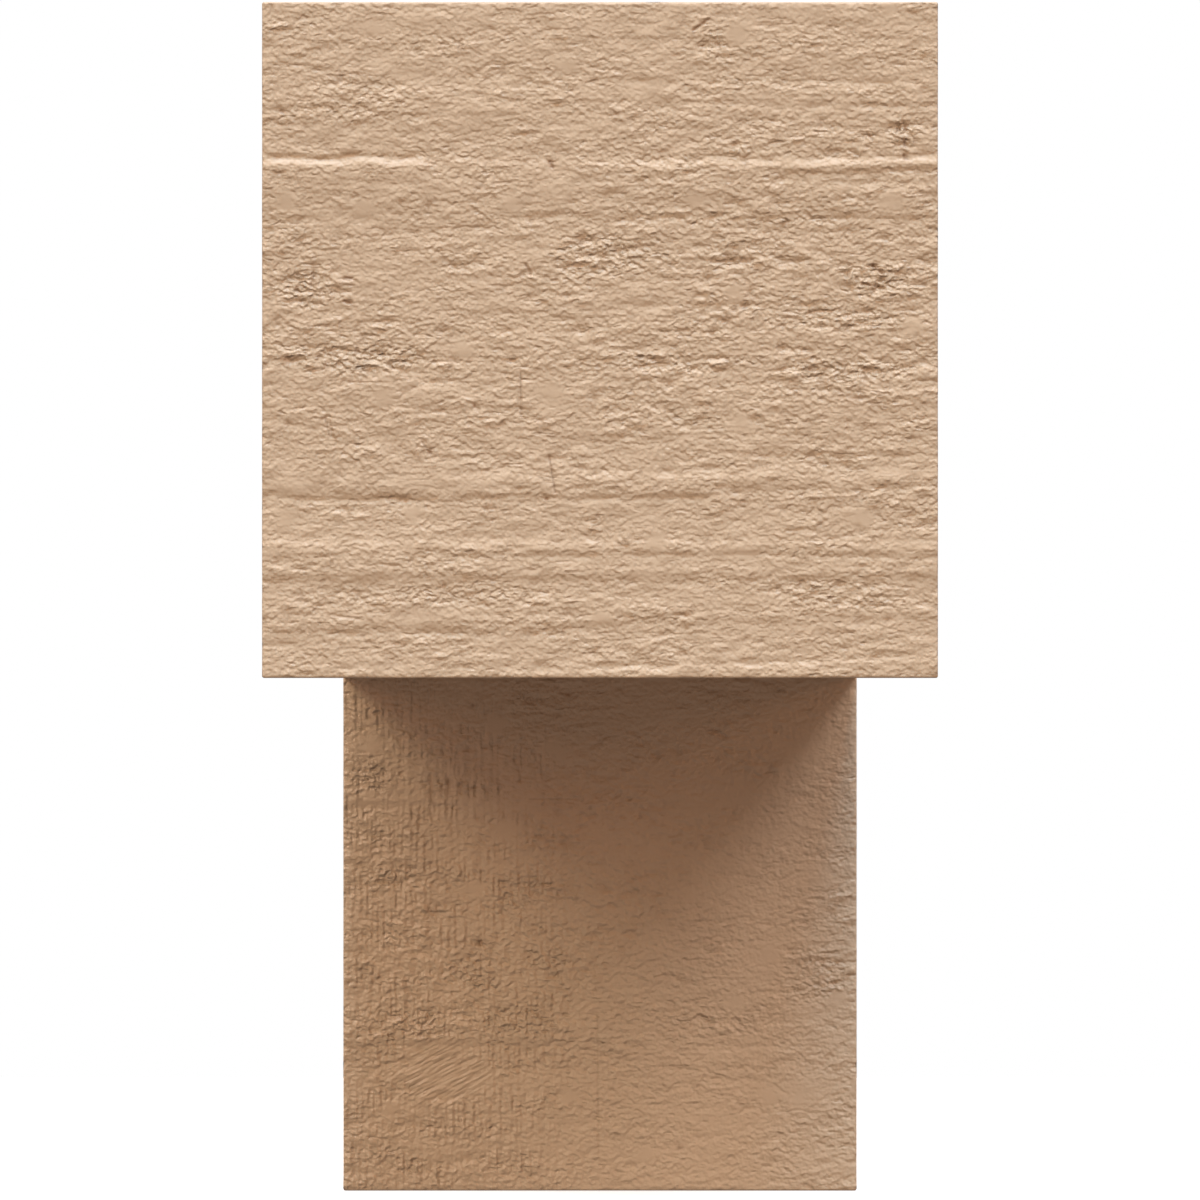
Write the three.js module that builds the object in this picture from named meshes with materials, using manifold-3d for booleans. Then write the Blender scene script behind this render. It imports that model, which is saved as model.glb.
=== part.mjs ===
// A wall corbel cast in one piece in rigid urethane, with a rough-sawn timber face.
// A square foot lies flat to the wall and carries an arm of its own width. The arm runs
// out over the foot to a wider, square end block, flush with it above and below.
// Millimetres, +Z up. The front faces -Y. The back is the flat wall face, at y = 0,
// and the origin lies on it, halfway up.
import * as THREE from 'three';
import * as BufferGeometryUtils from 'three/addons/utils/BufferGeometryUtils.js';
import Module from 'manifold-3d';

const INCH = 25.4;

// Foot, and the arm above it, which is as wide
const FOOT_WIDTH = 5 * INCH;
const FOOT_HEIGHT = 5 * INCH;
const FOOT_DEPTH = 5 * INCH;
const ARM_OVERHANG = 5 * INCH;

// End block, which stands out past the arm by its lip on either side
const BLOCK_LIP = 0.75 * INCH;
const BLOCK_HEIGHT = 6.5 * INCH;
const BLOCK_THICKNESS = 1.5 * INCH;

// Edges and grain relief
const ARRIS = 0.5;
const LEDGE_RISE = 1.2;
const LEDGE_WANDER = 1.3;
const RELIEF_MARGIN = 3;
const STATION_PITCH = 16;

// Grain courses from the top of a member down. Each is the share of the member's height
// where the course starts, and how far its face is sunk, in millimetres.
const BLOCK_COURSES = [
  [0.0, 0.5],
  [0.135, 0.35],
  [0.236, 0.0],
  [0.315, 0.35],
  [0.545, 0.15],
  [0.722, 0.7],
  [0.805, 0.4],
  [0.885, 0.6],
  [0.95, 0.25],
];
const ARM_COURSES = [
  [0.0, 0.4],
  [0.19, 0.15],
  [0.43, 0.5],
  [0.67, 0.2],
  [0.88, 0.5],
];
const FOOT_COURSES = [
  [0.0, 0.4],
  [0.217, 0.0],
  [0.4, 0.3],
  [0.708, 0.6],
  [0.91, 0.2],
];

// How far one member runs into the next, so that the casting is one solid
const FOOT_ROOT = 1.5;
const ARM_ROOT = BLOCK_THICKNESS / 3;

const BLOCK_WIDTH = FOOT_WIDTH + 2 * BLOCK_LIP;
const ARM_REACH = FOOT_DEPTH + ARM_OVERHANG;
const REACH = ARM_REACH + BLOCK_THICKNESS;
const TOP = (BLOCK_HEIGHT + FOOT_HEIGHT) / 2;
const UNDERSIDE = TOP - BLOCK_HEIGHT;
const BOTTOM = UNDERSIDE - FOOT_HEIGHT;

const { Manifold, Mesh: SolidMesh } = await loadSolids();

async function loadSolids() {
  const wasm = await Module();
  wasm.setup();
  return wasm;
}

// Distances along an edge of the given length: its ends, a margin inside each end,
// and even steps between the margins.
function stationsAlong(length) {
  const inner = length - 2 * RELIEF_MARGIN;
  const steps = Math.max(2, Math.round(inner / STATION_PITCH));
  const marks = [0];
  for (let i = 0; i <= steps; i += 1) {
    marks.push(RELIEF_MARGIN + (inner * i) / steps);
  }
  marks.push(length);
  return marks;
}

// The outline of a member seen from above: forward along its left side, across its front
// and back along its right side. Each point knows which way is into the member, how far
// round the outline it is, and whether the grain relief reaches it.
function memberOutline({ width, back, front }) {
  const side = stationsAlong(front - back - ARRIS);
  const face = stationsAlong(width - 2 * ARRIS);
  const half = width / 2;
  const points = [];
  const add = (x, y, inwardX, inwardY, marks, index, start) => {
    const carved = index > 0 && index < marks.length - 1;
    points.push({ x, y, inwardX, inwardY, along: start + marks[index], carved });
  };
  side.forEach((mark, i) => add(-half, -back - mark, 1, 0, side, i, back));
  face.forEach((mark, i) => add(mark - half + ARRIS, -front, 0, 1, face, i, front));
  side.forEach((mark, i) => add(half, mark - front + ARRIS, -1, 0, side, i, front + width));
  return points;
}

// How far a grain ledge strays up or down, at a distance round the outline.
function wander(along, ledge) {
  const slow = Math.sin(along / 41 + 2.1 * ledge);
  const quick = Math.sin(along / 17 + 4.7 * ledge);
  return LEDGE_WANDER * (0.65 * slow + 0.35 * quick);
}

// The levels of a member from its underside up: an eased edge, two levels for each grain
// ledge, one with the sink of the course on either side of it, and then another eased
// edge or, where the member is rooted in the one above, the root.
function memberLevels({ top, bottom, courses, root }) {
  const height = top - bottom;
  const levels = [
    { z: bottom, inset: ARRIS },
    { z: bottom + ARRIS, inset: 0 },
    { z: bottom + ARRIS + RELIEF_MARGIN, sink: courses.at(-1)[1] },
  ];
  for (let k = courses.length - 1; k > 0; k -= 1) {
    const ledgeZ = top - height * courses[k][0];
    levels.push({ z: ledgeZ - LEDGE_RISE / 2, sink: courses[k][1], ledge: k });
    levels.push({ z: ledgeZ + LEDGE_RISE / 2, sink: courses[k - 1][1], ledge: k });
  }
  if (root) {
    levels.push({ z: top + root, sink: courses[0][1] });
  } else {
    levels.push({ z: top - ARRIS - RELIEF_MARGIN, sink: courses[0][1] });
    levels.push({ z: top - ARRIS, inset: 0 });
    levels.push({ z: top, inset: ARRIS });
  }
  return levels;
}

// One vertex of a member: an outline point at a level, moved in by the level's inset or,
// where the relief reaches, by its sink.
function memberVertex(point, level) {
  const into = level.inset ?? (point.carved ? level.sink : 0);
  const lift = level.ledge ? wander(point.along, level.ledge) : 0;
  return [point.x + point.inwardX * into, point.y + point.inwardY * into, level.z + lift];
}

// A closed member: its outline repeated at every level and skinned, with a fan of faces
// across the underside and the top.
function memberSolid(member) {
  const outline = memberOutline(member);
  const levels = memberLevels(member);
  const count = outline.length;
  const middle = -(member.back + member.front) / 2;
  const positions = levels.flatMap((level) => outline.flatMap((point) => memberVertex(point, level)));
  positions.push(0, middle, levels.at(0).z);
  positions.push(0, middle, levels.at(-1).z);
  const underCentre = levels.length * count;
  const topCentre = underCentre + 1;
  const topRing = (levels.length - 1) * count;
  const index = [];
  for (let i = 0; i < count; i += 1) {
    const next = (i + 1) % count;
    for (let ring = 0; ring < topRing; ring += count) {
      index.push(ring + i, ring + next, ring + count + next);
      index.push(ring + i, ring + count + next, ring + count + i);
    }
    index.push(underCentre, next, i);
    index.push(topCentre, topRing + i, topRing + next);
  }
  const geometry = new THREE.BufferGeometry();
  geometry.setAttribute('position', new THREE.Float32BufferAttribute(positions, 3));
  geometry.setIndex(index);
  return toSolid(geometry);
}

// A closed geometry as a solid, without the faces that vanish where corners meet.
function toSolid(geometry) {
  const merged = BufferGeometryUtils.mergeVertices(geometry, 1e-4);
  const corners = merged.index.array;
  const kept = [];
  for (let i = 0; i < corners.length; i += 3) {
    const [a, b, c] = corners.slice(i, i + 3);
    if (a !== b && b !== c && c !== a) {
      kept.push(a, b, c);
    }
  }
  return new Manifold(new SolidMesh({
    numProp: 3,
    vertProperties: merged.attributes.position.array,
    triVerts: new Uint32Array(kept),
  }));
}

// A solid back as a geometry with flat-shaded faces.
function toGeometry(solid) {
  const mesh = solid.getMesh();
  const geometry = new THREE.BufferGeometry();
  geometry.setAttribute('position', new THREE.BufferAttribute(mesh.vertProperties, 3));
  geometry.setIndex(new THREE.BufferAttribute(mesh.triVerts, 1));
  return geometry;
}

function footSolid() {
  return memberSolid({
    width: FOOT_WIDTH,
    back: 0,
    front: FOOT_DEPTH,
    top: UNDERSIDE,
    bottom: BOTTOM,
    courses: FOOT_COURSES,
    root: FOOT_ROOT,
  });
}

function armSolid() {
  return memberSolid({
    width: FOOT_WIDTH,
    back: 0,
    front: ARM_REACH + ARM_ROOT,
    top: TOP,
    bottom: UNDERSIDE,
    courses: ARM_COURSES,
  });
}

function endBlockSolid() {
  return memberSolid({
    width: BLOCK_WIDTH,
    back: ARM_REACH,
    front: REACH,
    top: TOP,
    bottom: UNDERSIDE,
    courses: BLOCK_COURSES,
  });
}

function primedUrethane() {
  return new THREE.MeshStandardMaterial({
    color: new THREE.Color('rgb(198, 169, 141)'),
    roughness: 0.85,
    metalness: 0,
  });
}

function buildCorbel() {
  const casting = footSolid().add(armSolid()).add(endBlockSolid());
  const corbel = new THREE.Mesh(toGeometry(casting), primedUrethane());
  corbel.name = 'corbel';
  return corbel;
}

const model = new THREE.Group();
model.add(buildCorbel());

export default model;
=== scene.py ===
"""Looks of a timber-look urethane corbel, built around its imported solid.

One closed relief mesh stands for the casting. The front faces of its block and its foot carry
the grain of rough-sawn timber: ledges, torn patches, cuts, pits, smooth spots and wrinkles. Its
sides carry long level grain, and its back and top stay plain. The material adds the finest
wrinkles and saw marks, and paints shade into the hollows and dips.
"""

import math

import bmesh
import bpy
import numpy as np
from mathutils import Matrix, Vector


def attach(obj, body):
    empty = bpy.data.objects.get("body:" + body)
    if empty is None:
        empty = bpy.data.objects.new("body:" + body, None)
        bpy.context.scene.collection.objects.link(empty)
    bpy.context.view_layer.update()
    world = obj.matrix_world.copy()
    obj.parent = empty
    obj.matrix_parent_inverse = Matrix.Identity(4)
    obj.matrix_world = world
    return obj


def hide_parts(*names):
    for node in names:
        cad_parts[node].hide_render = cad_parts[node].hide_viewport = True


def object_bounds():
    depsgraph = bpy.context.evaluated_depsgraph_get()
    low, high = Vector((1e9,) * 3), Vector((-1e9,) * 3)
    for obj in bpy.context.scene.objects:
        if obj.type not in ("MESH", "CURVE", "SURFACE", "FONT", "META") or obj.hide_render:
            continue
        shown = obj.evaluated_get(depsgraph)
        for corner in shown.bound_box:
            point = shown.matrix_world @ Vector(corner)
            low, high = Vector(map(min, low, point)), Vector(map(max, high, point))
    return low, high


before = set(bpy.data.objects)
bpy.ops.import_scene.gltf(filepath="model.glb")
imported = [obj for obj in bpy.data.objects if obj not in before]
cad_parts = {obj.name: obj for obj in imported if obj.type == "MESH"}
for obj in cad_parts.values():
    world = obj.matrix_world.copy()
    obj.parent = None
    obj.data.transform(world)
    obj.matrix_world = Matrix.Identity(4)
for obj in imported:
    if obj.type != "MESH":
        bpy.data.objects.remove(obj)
cad_low, cad_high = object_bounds()

MM = 0.001
INCH = 0.0254

# The photograph's frame, and its scale at the front face
PHOTO_PIXELS = 1200
PIXELS_PER_INCH = 104
LENS_MM = 1600
SENSOR_MM = 36

# Spacing of the mesh lines, and how many fine steps make a coarse one
FINE_ACROSS = 1.3 * MM
FINE_UP = 0.56 * MM
COARSE_OUT = 3.0 * MM
COARSE_ACROSS_STEPS = 4
COARSE_UP_STEPS = 4

# The eased edge: its width, and how far its corner is drawn in
ARRIS = 0.45 * MM
ARRIS_PULL = 0.14 * MM

# The grid that mesh lines are rounded to, so that neighbours weld
SNAP = 0.01 * MM


def member_sizes():
    """The casting's main planes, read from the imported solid."""
    edge = 1.0 * MM
    points = [v.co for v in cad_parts["corbel"].data.vertices]
    foot = [p for p in points if p.z < cad_low.z + edge]
    foot_half = max(p.x for p in foot)
    wide = [p for p in points if p.x > foot_half + edge]
    return {
        "foot_half": foot_half,
        "block_half": cad_high.x,
        "foot_face": min(p.y for p in foot),
        "block_back": max(p.y for p in wide),
        "front": cad_low.y,
        "underside": min(p.z for p in wide),
        "bottom": cad_low.z,
        "top": cad_high.z,
    }


PLANES = member_sizes()


def even_lines(start, end, pitch, multiple):
    """Evenly spaced values from start to end, with an arris line just inside each end.

    The number of inner steps is a multiple, so that a coarser set can use every so many.
    """
    inner = end - start - 2 * ARRIS
    steps = max(1, round(inner / pitch / multiple)) * multiple
    middle = np.linspace(start + ARRIS, end - ARRIS, steps + 1)
    return np.concatenate([[start], middle, [end]])


def every(lines, step):
    """The end lines, and every so many of the inner ones."""
    return np.concatenate([lines[:1], lines[1:-1:step], lines[-1:]])


def joined(*runs):
    """Several runs of lines as one, each value once."""
    values = np.concatenate(runs)
    return np.unique(np.round(values / SNAP).astype(int)) * SNAP


class Shell:
    """Quads and edge polygons on flat rectangles, collected as one welded surface."""

    def __init__(self):
        self.corners = []
        self.sizes = []

    def rectangle(self, axis, at, sign, us, vs, fine=None):
        """A rectangle across one axis, between lines us and vs along the other two.

        fine gives the finer lines of a neighbour, as {"u0": lines, ...}, for the border at
        the low or high end of u or v.
        """
        fine = fine or {}
        u_axis, v_axis = [a for a in range(3) if a != axis]
        flip = (sign > 0) == (axis == 1)

        def side(lines, low, high, border):
            if border not in fine:
                return [low, high]
            extra = [f for f in fine[border] if low + SNAP / 2 < f < high - SNAP / 2]
            return [low, *extra, high]

        for i in range(len(us) - 1):
            for j in range(len(vs) - 1):
                u0, u1, v0, v1 = us[i], us[i + 1], vs[j], vs[j + 1]
                low_v = side(us, u0, u1, "v0" if j == 0 else "")
                high_u = side(vs, v0, v1, "u1" if i == len(us) - 2 else "")
                high_v = side(us, u0, u1, "v1" if j == len(vs) - 2 else "")
                low_u = side(vs, v0, v1, "u0" if i == 0 else "")
                ring = [(u, v0) for u in low_v[:-1]]
                ring += [(u1, v) for v in high_u[:-1]]
                ring += [(u, v1) for u in high_v[:0:-1]]
                ring += [(u0, v) for v in low_u[:0:-1]]
                if flip:
                    ring.reverse()
                for u, v in ring:
                    point = [0.0, 0.0, 0.0]
                    point[axis], point[u_axis], point[v_axis] = at, u, v
                    self.corners.append(point)
                self.sizes.append(len(ring))

    def weld(self):
        """Unique vertices, and polygons over them."""
        keys = np.round(np.array(self.corners) / SNAP).astype(np.int64)
        unique, index = np.unique(keys, axis=0, return_inverse=True)
        starts = np.cumsum(self.sizes)[:-1]
        polygons = [ring.tolist() for ring in np.split(index.reshape(-1), starts)]
        return unique * SNAP, polygons


def casting_shell():
    """The whole casting's surface as lines on its planes."""
    p = PLANES
    xs_foot = even_lines(-p["foot_half"], p["foot_half"], FINE_ACROSS, COARSE_ACROSS_STEPS)
    xs_lip = even_lines(p["foot_half"], p["block_half"], FINE_ACROSS, COARSE_ACROSS_STEPS)
    zs_block = even_lines(p["underside"], p["top"], FINE_UP, COARSE_UP_STEPS)
    zs_foot = even_lines(p["bottom"], p["underside"], FINE_UP, COARSE_UP_STEPS)
    ys_block = even_lines(p["front"], p["block_back"], COARSE_OUT, 1)
    ys_clear = even_lines(p["block_back"], p["foot_face"], COARSE_OUT, 1)
    ys_foot = even_lines(p["foot_face"], 0, COARSE_OUT, 1)

    xs_block = joined(-xs_lip, xs_foot, xs_lip)
    wide_xs = every(xs_foot, COARSE_ACROSS_STEPS)
    wide_lip = every(xs_lip, COARSE_ACROSS_STEPS)
    wide_block_xs = joined(-wide_lip, wide_xs, wide_lip)
    wide_block_zs = every(zs_block, COARSE_UP_STEPS)
    wide_foot_zs = every(zs_foot, COARSE_UP_STEPS)
    ys_arm = joined(ys_clear, ys_foot)

    # The lines of single runs go on the same grid as the joined ones
    xs_foot = joined(xs_foot)
    wide_xs = joined(wide_xs)
    zs_block = joined(zs_block)
    zs_foot = joined(zs_foot)
    wide_block_zs = joined(wide_block_zs)
    wide_foot_zs = joined(wide_foot_zs)
    ys_block = joined(ys_block)
    ys_clear = joined(ys_clear)
    ys_foot = joined(ys_foot)

    shell = Shell()
    shell.rectangle(1, p["front"], -1, xs_block, zs_block)
    shell.rectangle(1, p["foot_face"], -1, xs_foot, zs_foot)
    for side in (-1, 1):
        lip = joined(side * wide_lip)
        shell.rectangle(0, side * p["block_half"], side, ys_block, wide_block_zs, {"u0": zs_block})
        shell.rectangle(1, p["block_back"], 1, lip, wide_block_zs)
        shell.rectangle(0, side * p["foot_half"], side, ys_arm, wide_block_zs)
        shell.rectangle(0, side * p["foot_half"], side, ys_foot, wide_foot_zs, {"u0": zs_foot})
    for at, sign in ((p["top"], 1), (p["underside"], -1)):
        shell.rectangle(2, at, sign, wide_block_xs, ys_block, {"v0": xs_block})
    shell.rectangle(2, p["top"], 1, wide_xs, ys_arm)
    shell.rectangle(2, p["underside"], -1, wide_xs, ys_clear, {"v1": xs_foot})
    shell.rectangle(2, p["bottom"], -1, wide_xs, ys_foot, {"v0": xs_foot})
    shell.rectangle(1, 0, 1, wide_xs, joined(wide_foot_zs, wide_block_zs))
    return shell


# Relief of the carved faces, in millimetres: across to the right of a face's middle, and
# drop below its top edge. Depth is inward, and the ground depth leaves room for ridges.
GROUND = 0.6
FACE_FADE = 12

# Smooth noise: the cells after which it repeats, and the gain that brings it to about 1
NOISE_CELLS = 256
NOISE_GAIN = 1.5

# Lumps: their length against their height, their swell, and the fold that creases them
LUMP_LENGTH = 1.35
LUMP_SWELL = 0.6
LUMP_FOLD = 0.45
FOLD_LIMIT = 0.5
FOLD_SEED = 50

# Plates: the noise between which they rise, at the steep edge and at the sloping one
PLATE_STEEP = (0.38, 0.54)
PLATE_SLOPE = (0.30, 0.70)

# How a ledge strays from its path: height and length of a slow and a quick sway. Then how
# far the height of its rise varies, and over which length, how many rows of noise lie between
# two ledges, and the drop over which a rise fades out.
SWAY_HEIGHT = 0.45
SWAY_LENGTH = 9
QUIVER_HEIGHT = 0.2
QUIVER_LENGTH = 2.4
STAND_SWAY = 0.4
STAND_LENGTH = 6
LEDGE_ROWS = 10
LEDGE_FADE = 13

# A ledge's crease: its half-widths, the length of its worn gaps and the noise between which
# it wears away, and how far it lies above a rise outward or below a step inward
CREASE_ABOVE = 0.5
CREASE_BELOW = 0.95
WORN_LENGTH = 4
WORN_NOISE = (-0.7, -0.3)
OUTWARD_STAND = (0.15, 0.45)
INWARD_STAND = (0.1, 0.3)
OUTWARD_LIFT = 0.2
INWARD_SHARE = 0.9

# The stand between which a ledge wipes out the finer grain
WIPING_STAND = (0.2, 0.7)

# Soft borders, as shares of a patch's or a spot's size, and the ragged edge of a spot
PATCH_BORDER = (0.4, 1.15)
SPOT_BORDER = (0.25, 1.0)
SPOT_STRETCH = 1.15
SPOT_RAGGED = 0.35
SPOT_CELL = (2.5, 1.6)
SPOT_SEED = 71

# Random layers of a face: seed, added to the face's own, and the cells' length and height
LAYERS = {
    "streaky": (9, 14, 6),
    "uneven": (10, 22, 7),
    "patchy": (21, 8, 4),
    "crowded": (14, 9, 5),
    "scar": (16, 1.9, 12),
    "long_scar": (17, 4.2, 20),
    "chip": (18, 3.1, 1.9),
    "pit": (19, 2.6, 1.7),
}

# Layers of lumps: seed, size and height. The small ones lean down by a share of their swell.
BROAD_LUMPS = (11, 7.5, 0.27)
MIDDLE_LUMPS = (12, 3.9, 0.26)
SMALL_LUMPS = (13, 2.1, 0.30)
SMALL_LEAN = 0.5

# Layers of plates: seed, the length and height of their cells, their lean, and their depth,
# which is below 0 where they are raised
NOTCH = (15, 3.1, 2.4, 0.2, 0.44)
FLAKE = (20, 3.0, 2.3, -0.2, -0.40)
SMALL_NOTCH = (22, 2.4, 1.6, 0.2, 0.28)
SMALL_FLAKE = (23, 2.4, 1.6, -0.2, -0.26)

# How much the plates crowd together, by their own layer and where a face is rougher than usual
CROWDING = 0.18
CROWDED_BY_ROUGH = 0.15
USUAL_ROUGH = 0.9

# Roughness of a face: its level, two uneven layers, the share that torn patches add, its
# limits, and the shares that smooth spots and steep ledges take away
ROUGH_LEVEL = 0.72
ROUGH_UNEVEN = 0.4
ROUGH_PATCHY = 0.25
ROUGH_TORN = 0.65
ROUGH_LIMITS = (0.3, 1.4)
SPOT_SMOOTHING = 0.93
LEDGE_SMOOTHING = 0.6

# Depth of the scars, and of the chips and pits in torn patches, with the noise between
# which the last two deepen
SCAR_DEPTH = 0.12
CHIP_DEPTH = 0.17
CHIP_NOISE = (-0.05, 0.3)
PIT_DEPTH = 0.15
PIT_NOISE = (0.3, 0.55)

# The upright grain: where it starts, going left, its least strength, and what its streaky
# layer adds between two levels of noise
UPRIGHT_START = (-2, -16)
UPRIGHT_LEAST = 0.35
UPRIGHT_MORE = 0.9
UPRIGHT_NOISE = (-0.25, 0.3)

# Shade painted into the hollows: the depth of a cut that is fully shaded, and the strength in notches
DARK_DEPTH = 0.4
DARK_NOTCH = 0.36
DARK_SMALL_NOTCH = 0.7

# The swell's share on an unworn face, and the share that smooth spots take away
UNWORN_SWELL = 0.3
SPOT_SWELL = 0.5

# The fine grain's strength and its painted shade on plain faces, and its roughness on the sides and
# underneath
PLAIN_GRAIN = {
    "rough": 0.25,
    "painted_hollow_shade": 0.0,
    "painted_dip_shade": 0.175,
    "upright": 0.0,
    "slant": 0.0,
    "sawn": 0.0,
}
SIDE_ROUGH = 0.8
UNDER_ROUGH = 0.7

# The shares of the fine grain and of the upright streaks that slanting marks take away, and
# what upright grain and torn patches add to the fine grain
SLANT_CALM = 0.7
SLANT_UPRIGHT_CALM = 0.8
UPRIGHT_ROUGH = 0.5
TORN_ROUGH = 0.3

# Long level grain on the sides: its ground depth, the depth of its courses and the noise at
# which they turn. The courses' layers have a seed, a length, a height and a strength, and the
# lumps a seed, a stretch, a size and a height.
SIDE_GROUND = 0.1
COURSE_DEPTH = 0.45
COURSE_NOISE = 0.12
COURSES = [(311, 90, 14, 1.0), (312, 30, 9, 0.3)]
SIDE_LUMPS = [(313, 5, 5, 0.3), (314, 2, 6, 0.25)]

# How far in from the ends and from the edges of a side its grain fades
SIDE_END_FADE = 4
SIDE_EDGE_FADE = 3.5

# How near to its plane a point counts as on it
ON_PLANE = 0.1

# The softness of a cut's edge, how near to a cut or a pit the mesh cells are split, and how
# many times
CUT_SOFTNESS = 1.3
CUT_NEAR = 0.9
CUT_SPLITS = 3

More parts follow.
